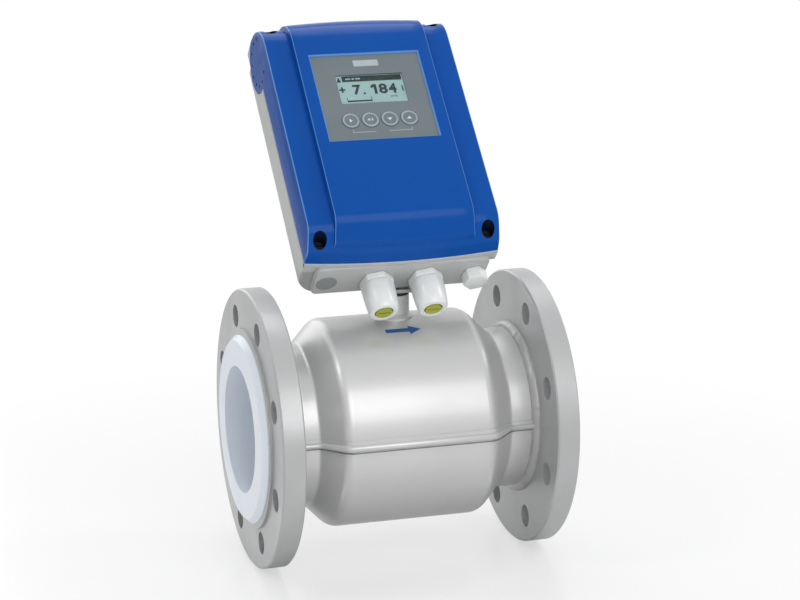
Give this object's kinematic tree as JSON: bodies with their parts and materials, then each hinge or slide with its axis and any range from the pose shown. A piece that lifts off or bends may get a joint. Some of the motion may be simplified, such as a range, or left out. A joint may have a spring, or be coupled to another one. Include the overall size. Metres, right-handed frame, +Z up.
{
  "type": "electromagnetic flow meter",
  "caption": "Flanged electromagnetic flow meter with a white-lined round bore and a blue and grey signal converter leaning back on a short neck, with a display, push keys and cable glands.",
  "frame": {"origin": "on the pipe axis, midway between the two sealing faces", "axes": "+X along the pipe in the flow direction, +Y away from the reader of the display, +Z up through the neck"},
  "size_m": [0.25, 0.2642, 0.412],
  "materials": {
    "body_paint": "smooth silver-grey paint",
    "housing_paint": "light grey powder coat on die-cast aluminium",
    "cover_paint": "glossy blue polyester coat on die-cast aluminium",
    "steel": "machined stainless steel",
    "liner": "white fluoropolymer liner",
    "core_steel": "soft magnetic steel",
    "copper": "enamelled copper winding",
    "black_plastic": "black moulding",
    "gland_plastic": "near-white polyamide",
    "disc_plastic": "yellow-green moulding",
    "black_rubber": "seal rubber",
    "fascia_grey": "matt grey film on plastic",
    "key_grey": "matt grey with a pale ring",
    "glass": "clear pane",
    "lcd": "pale green liquid-crystal display",
    "board": "green circuit board",
    "terminal_grey": "grey terminal moulding"
  },
  "bodies": {
    "meter": {"inlet_flange": "body_paint", "outlet_flange": "body_paint", "coil_housing_upper": "body_paint", "coil_housing_lower": "body_paint", "measuring_tube": "steel", "liner": "liner", "pole_shoe_top": "core_steel", "pole_shoe_bottom": "core_steel", "return_yoke": "core_steel", "field_coil_top": "copper", "field_coil_bottom": "copper", "electrode_front": "steel", "electrode_rear": "steel", "electrode_bush_front": "black_plastic", "electrode_bush_rear": "black_plastic", "electrode_nut_front": "steel", "electrode_nut_rear": "steel", "neck_stem": "body_paint", "neck_seal": "black_rubber", "converter_bracket": "housing_paint", "bracket_screws": "steel", "converter_base": "housing_paint", "cover_gasket": "black_rubber", "converter_cover": "cover_paint", "cover_screws": "steel", "display_fascia": "fascia_grey", "display_window": "glass", "lcd_module": "lcd", "display_board": "board", "display_pillars": "steel", "main_board": "board", "board_screws": "steel", "signal_terminals": "terminal_grey", "supply_terminals": "terminal_grey", "power_module": "black_plastic", "blanking_plug": "gland_plastic", "plug_seal": "black_rubber", "gland_body_1": "gland_plastic", "gland_o_ring_1": "black_rubber", "gland_locknut_1": "gland_plastic", "gland_seal_1": "black_rubber", "blanking_disc_1": "disc_plastic", "gland_body_2": "gland_plastic", "gland_o_ring_2": "black_rubber", "gland_locknut_2": "gland_plastic", "gland_seal_2": "black_rubber", "blanking_disc_2": "disc_plastic"},
    "key_1": {"key_1": "key_grey"},
    "key_2": {"key_2": "key_grey"},
    "key_3": {"key_3": "key_grey"},
    "key_4": {"key_4": "key_grey"},
    "gland_nut_1": {"gland_nut_1": "gland_plastic"},
    "gland_nut_2": {"gland_nut_2": "gland_plastic"}
  },
  "joints": [
    {"name": "key_1_press", "type": "slide", "parent": "meter", "child": "key_1", "axis": [0, 0.7071, -0.7071], "range_m": [0, 0.0008], "stiffness_N_per_m": 400},
    {"name": "key_2_press", "type": "slide", "parent": "meter", "child": "key_2", "axis": [0, 0.7071, -0.7071], "range_m": [0, 0.0008], "stiffness_N_per_m": 400},
    {"name": "key_3_press", "type": "slide", "parent": "meter", "child": "key_3", "axis": [0, 0.7071, -0.7071], "range_m": [0, 0.0008], "stiffness_N_per_m": 400},
    {"name": "key_4_press", "type": "slide", "parent": "meter", "child": "key_4", "axis": [0, 0.7071, -0.7071], "range_m": [0, 0.0008], "stiffness_N_per_m": 400},
    {"name": "gland_nut_1_turn", "type": "hinge", "parent": "meter", "child": "gland_nut_1", "pos_m": [-0.0175, -0.02828, 0.104], "axis": [0, -0.7071, -0.7071], "range_deg": [0, 360]},
    {"name": "gland_nut_2_turn", "type": "hinge", "parent": "meter", "child": "gland_nut_2", "pos_m": [0.0225, -0.02828, 0.104], "axis": [0, -0.7071, -0.7071], "range_deg": [0, 360]}
  ]
}
